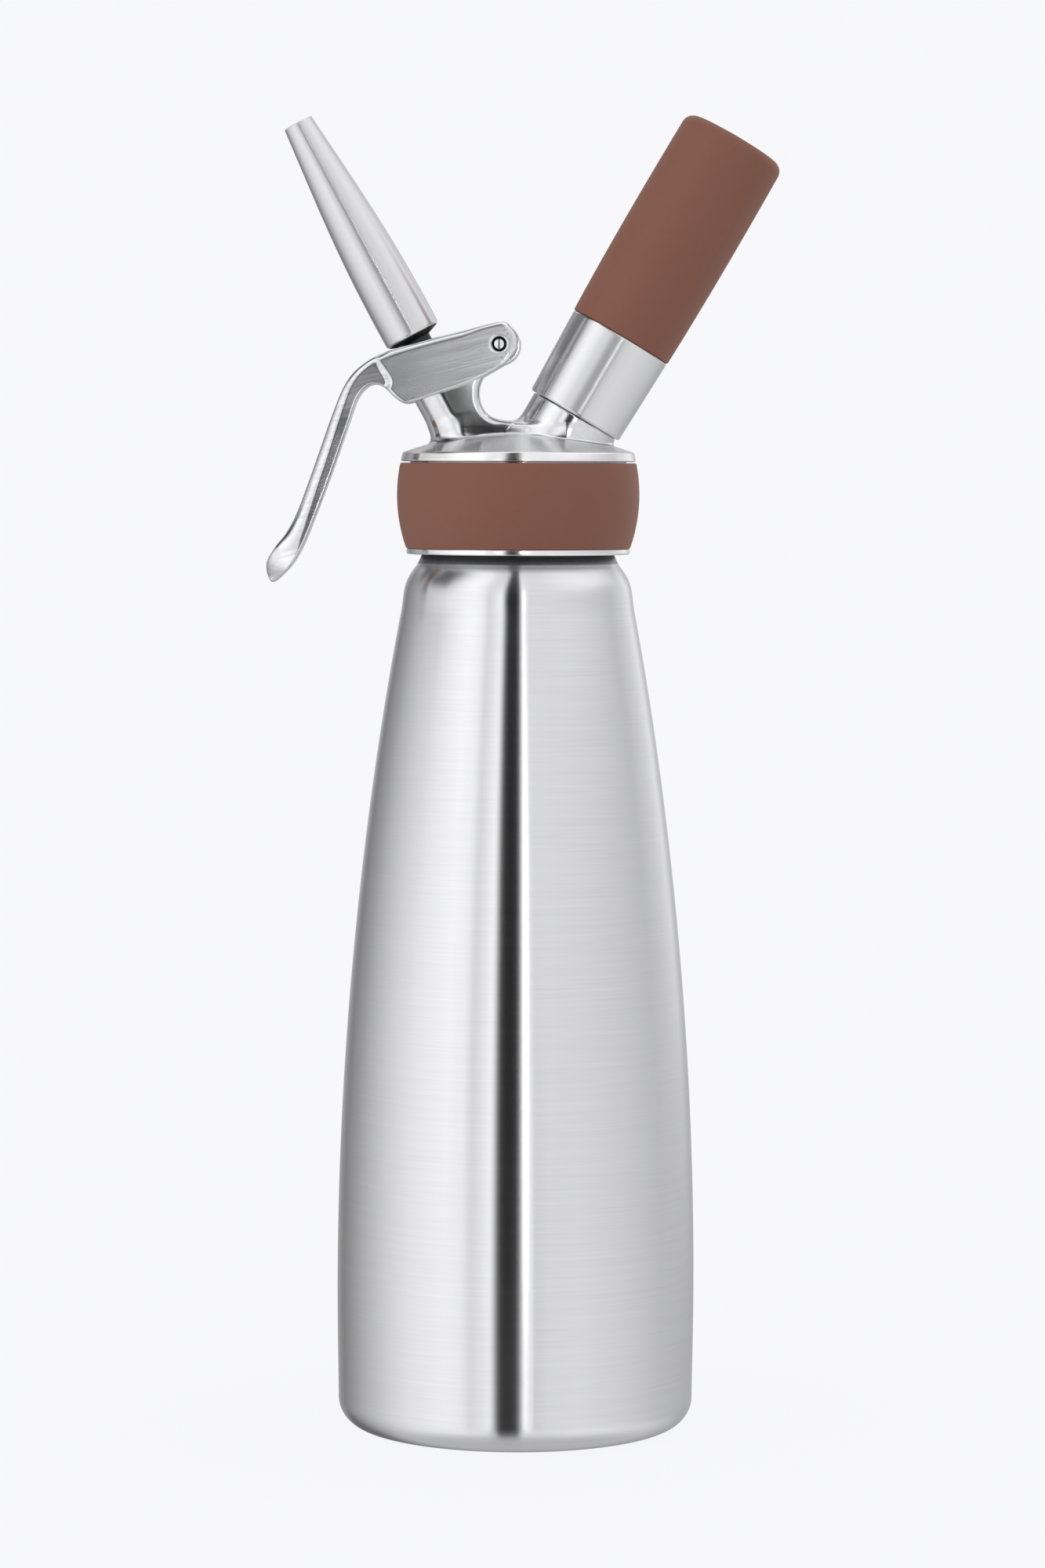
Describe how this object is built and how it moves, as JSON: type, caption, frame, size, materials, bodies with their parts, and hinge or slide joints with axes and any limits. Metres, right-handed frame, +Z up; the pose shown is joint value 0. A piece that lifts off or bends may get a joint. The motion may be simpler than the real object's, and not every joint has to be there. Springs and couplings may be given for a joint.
{
  "type": "nitro cold brew whipper",
  "caption": "Tall steel pressure bottle with a screw-on head, squeeze lever, tapered dispensing nozzle and a leaning gas bulb holder with silicone grips.",
  "frame": {"origin": "centre of the flat base the bottle stands on", "axes": "+Z up along the bottle axis, +X towards the side the gas bulb holder leans to, so the lever and nozzle are on the -X side, and the front faces -Y"},
  "size_m": [0.135, 0.095, 0.3476],
  "materials": {
    "bottle_steel": "fine brushing round the bottle, satin",
    "cast_steel": "investment-cast stainless steel, smoothed to a soft polish",
    "lever_steel": "stainless steel, fine blasted and brushed sides with polished rounded edges",
    "nozzle_steel": "turned stainless steel, satin",
    "sleeve_steel": "turned stainless steel, satin with a soft polish",
    "turned_steel": "turned stainless steel",
    "spring_steel": "bright drawn spring wire",
    "bulb_steel": "zinc-plated deep-drawn steel",
    "foil": "thin pierceable cap",
    "brown_silicone": "matt brown silicone",
    "red_silicone": "soft red silicone seal",
    "black_rubber": "black nitrile seal",
    "black_plastic": "black glass-filled plastic"
  },
  "bodies": {
    "bottle": {"bottle_shell": "bottle_steel"},
    "gasket": {"head_gasket": "red_silicone"},
    "head": {"head_casting": "cast_steel", "head_band": "brown_silicone", "valve_seat": "turned_steel", "stem_guide": "turned_steel", "guide_seal": "black_rubber", "valve_spring": "spring_steel", "inlet_retainer": "turned_steel", "inlet_spring": "spring_steel", "pierce_pin": "turned_steel", "charger_seal": "black_rubber"},
    "lever": {"lever": "lever_steel", "lever_pin": "turned_steel"},
    "valve_stem": {"valve_stem": "turned_steel", "poppet_seal": "red_silicone", "stem_collar": "turned_steel", "nozzle_adapter": "black_plastic"},
    "nozzle_carrier": {"nozzle_seal": "red_silicone"},
    "nozzle": {"nozzle": "nozzle_steel", "restrictor_disc": "turned_steel"},
    "inlet_valve": {"inlet_poppet": "turned_steel", "inlet_poppet_seal": "black_rubber"},
    "charger": {"nitrogen_charger": "bulb_steel", "charger_cap": "foil"},
    "charger_holder": {"holder_sleeve": "sleeve_steel", "holder_grip": "brown_silicone"}
  },
  "joints": [
    {"name": "head_lift", "type": "slide", "parent": "bottle", "child": "gasket", "axis": [0, 0, 1], "range_m": [0, 0.006]},
    {"name": "head_turn", "type": "hinge", "parent": "gasket", "child": "head", "pos_m": [0, 0, 0.24], "axis": [0, 0, 1], "range_deg": [0, 540]},
    {"name": "lever_pivot", "type": "hinge", "parent": "head", "child": "lever", "pos_m": [-0.00513, 0, 0.28734], "axis": [0, -1, 0], "range_deg": [0, 12]},
    {"name": "valve_travel", "type": "slide", "parent": "head", "child": "valve_stem", "axis": [0.4795, 0, -0.8776], "range_m": [0, 0.00412], "stiffness_N_per_m": 1500, "springref_m": -0.004, "deforming": ["valve_spring"]},
    {"name": "nozzle_lift", "type": "slide", "parent": "valve_stem", "child": "nozzle_carrier", "axis": [-0.4795, 0, 0.8776], "range_m": [0, 0.003]},
    {"name": "nozzle_turn", "type": "hinge", "parent": "nozzle_carrier", "child": "nozzle", "pos_m": [-0.0139, 0, 0.264], "axis": [-0.4795, 0, 0.8776], "range_deg": [0, 1080]},
    {"name": "inlet_check", "type": "slide", "parent": "head", "child": "inlet_valve", "axis": [-0.5023, 0, -0.8647], "range_m": [0, 0.001], "stiffness_N_per_m": 300, "springref_m": -0.002, "deforming": ["inlet_spring"]},
    {"name": "charger_lift", "type": "slide", "parent": "head", "child": "charger", "axis": [0.5023, 0, 0.8647], "range_m": [0, 0.007]},
    {"name": "holder_turn", "type": "hinge", "parent": "charger", "child": "charger_holder", "pos_m": [0.01487, 0, 0.26887], "axis": [0.5023, 0, 0.8647], "range_deg": [0, 1260]}
  ],
  "couplings": [
    {"joint": "head_turn", "follows": "head_lift", "rad_per_m": 1570.8},
    {"joint": "lever_pivot", "follows": "valve_travel", "rad_per_m": 50.8},
    {"joint": "nozzle_turn", "follows": "nozzle_lift", "rad_per_m": 6283.2},
    {"joint": "holder_turn", "follows": "charger_lift", "rad_per_m": 3141.6}
  ]
}
